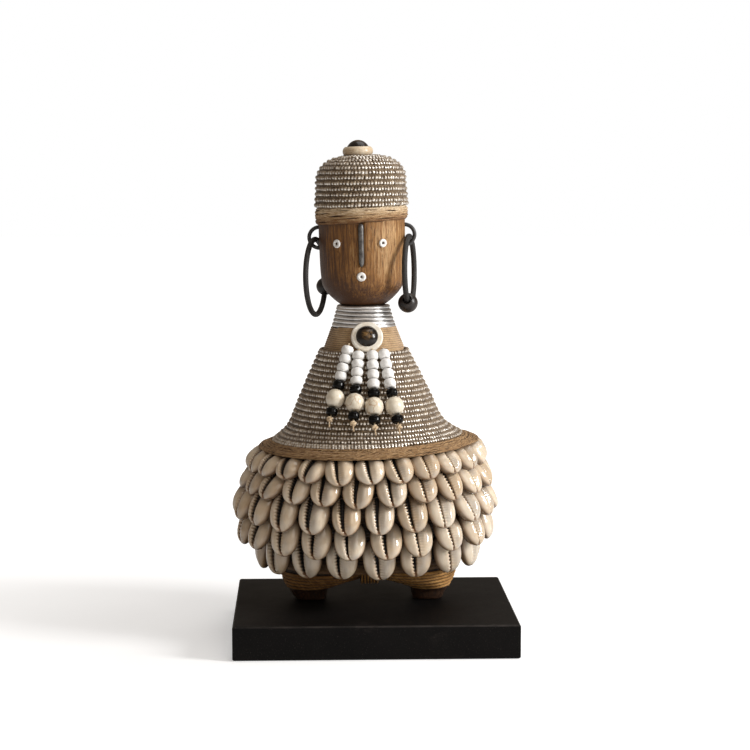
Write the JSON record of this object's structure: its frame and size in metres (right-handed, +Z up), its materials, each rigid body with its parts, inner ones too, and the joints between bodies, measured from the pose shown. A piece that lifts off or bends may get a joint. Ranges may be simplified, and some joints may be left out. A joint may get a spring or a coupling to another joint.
{
  "type": "namji doll",
  "caption": "Carved wooden doll in wound beads, wire and rope with a cowrie shell skirt, hoop earrings and hanging bead strands, standing on a flat black block",
  "frame": {"origin": "middle of the underside of the display block", "axes": "+Z up, the doll faces -Y, +X to the viewer's right"},
  "size_m": [0.15, 0.13, 0.2693],
  "materials": {
    "black_paint": "satin black paint on wood with dust and small scuffs",
    "steel": "plain bright screw steel",
    "carved_wood": "oiled mid-brown wood with darker vertical grain",
    "rope": "twisted plant-fibre rope",
    "dark_twine": "dark brown wound twine",
    "cowrie": "glossy natural shell, cream to grey-brown, with dirt in the slits",
    "raffia": "dry coarse raffia",
    "seed_beads": "small glossy taupe glass beads on brown cord",
    "twine": "fine dry twine",
    "bright_wire": "bright soft wire with dark lines between the turns",
    "bone": "polished bone, cream with grey-brown flecks",
    "dark_glass": "glossy near-black glass with a bronze mottle",
    "dark_iron": "dark worn iron wire",
    "white_bead": "opaque white glass, slightly worn",
    "brown_pin": "dark wooden pin",
    "black_rubber": "charcoal grey fibrous ring",
    "black_glass": "glossy black glass",
    "howlite": "polished white stone with grey veins"
  },
  "bodies": {
    "doll_on_block": {"base_block": "black_paint", "base_screw_left": "steel", "base_screw_right": "steel", "carved_figure": "carved_wood", "leg_rope_left": "rope", "leg_rope_right": "rope", "leg_lashing": "rope", "skirt_twine_wrap": "dark_twine", "cowrie_row_1": "cowrie", "cowrie_row_2": "cowrie", "cowrie_row_3": "cowrie", "cowrie_row_4": "cowrie", "cowrie_row_5": "cowrie", "hem_raffia_band": "raffia", "torso_bead_spiral": "seed_beads", "neck_twine_wrap": "twine", "neck_wire_coil": "bright_wire", "hat_raffia_band": "raffia", "hat_bead_spiral": "seed_beads", "hat_disc": "bone", "hat_dome": "dark_glass", "nose_rod": "dark_iron", "eye_left_bead": "white_bead", "eye_left_pin": "brown_pin", "eye_right_bead": "white_bead", "eye_right_pin": "brown_pin", "mouth_bead": "white_bead", "mouth_pin": "brown_pin", "ear_loop_left": "dark_iron", "ear_loop_right": "dark_iron", "brooch_disc": "bone", "brooch_dome": "dark_glass"},
    "hoop_left": {"hoop_left": "black_rubber"},
    "hoop_right": {"hoop_right": "black_rubber"},
    "bead_left": {"hoop_bead_left": "dark_glass"},
    "bead_right": {"hoop_bead_right": "dark_glass"},
    "strand_1": {"strand_thread_1": "twine", "white_beads_1": "white_bead", "black_bead_upper_1": "black_glass", "howlite_bead_1": "howlite", "black_bead_lower_1": "black_glass"},
    "strand_2": {"strand_thread_2": "twine", "white_beads_2": "white_bead", "black_bead_upper_2": "black_glass", "howlite_bead_2": "howlite", "black_bead_lower_2": "black_glass"},
    "strand_3": {"strand_thread_3": "twine", "white_beads_3": "white_bead", "black_bead_upper_3": "black_glass", "howlite_bead_3": "howlite", "black_bead_lower_3": "black_glass"},
    "strand_4": {"strand_thread_4": "twine", "white_beads_4": "white_bead", "black_bead_upper_4": "black_glass", "howlite_bead_4": "howlite", "black_bead_lower_4": "black_glass"}
  },
  "joints": [
    {"name": "left_hoop_swing", "type": "hinge", "parent": "doll_on_block", "child": "hoop_left", "pos_m": [-0.03104, 0.011, 0.21142], "axis": [0.9635, -0.2672, 0.0185], "range_deg": [-45, 45]},
    {"name": "left_bead_slide", "type": "hinge", "parent": "hoop_left", "child": "bead_left", "pos_m": [-0.03073, 0.011, 0.19511], "axis": [0.9635, -0.2672, 0.0185], "range_deg": [-145, 15]},
    {"name": "right_hoop_swing", "type": "hinge", "parent": "doll_on_block", "child": "hoop_right", "pos_m": [0.01974, 0.005, 0.21342], "axis": [0.9814, -0.1908, 0.0188], "range_deg": [-45, 45]},
    {"name": "right_bead_slide", "type": "hinge", "parent": "hoop_right", "child": "bead_right", "pos_m": [0.02003, 0.005, 0.19868], "axis": [0.9814, -0.1908, 0.0188], "range_deg": [-42, 95]},
    {"name": "strand_1_lift", "type": "hinge", "parent": "doll_on_block", "child": "strand_1", "pos_m": [-0.01329, -0.01688, 0.16096], "axis": [-1, 0, 0], "range_deg": [0, 35]},
    {"name": "strand_2_lift", "type": "hinge", "parent": "doll_on_block", "child": "strand_2", "pos_m": [-0.00813, -0.01873, 0.15815], "axis": [-1, 0, 0], "range_deg": [0, 35]},
    {"name": "strand_3_lift", "type": "hinge", "parent": "doll_on_block", "child": "strand_3", "pos_m": [-0.00098, -0.01874, 0.15836], "axis": [-1, 0, 0], "range_deg": [0, 35]},
    {"name": "strand_4_lift", "type": "hinge", "parent": "doll_on_block", "child": "strand_4", "pos_m": [0.00458, -0.01712, 0.15896], "axis": [-1, 0, 0], "range_deg": [0, 35]}
  ]
}
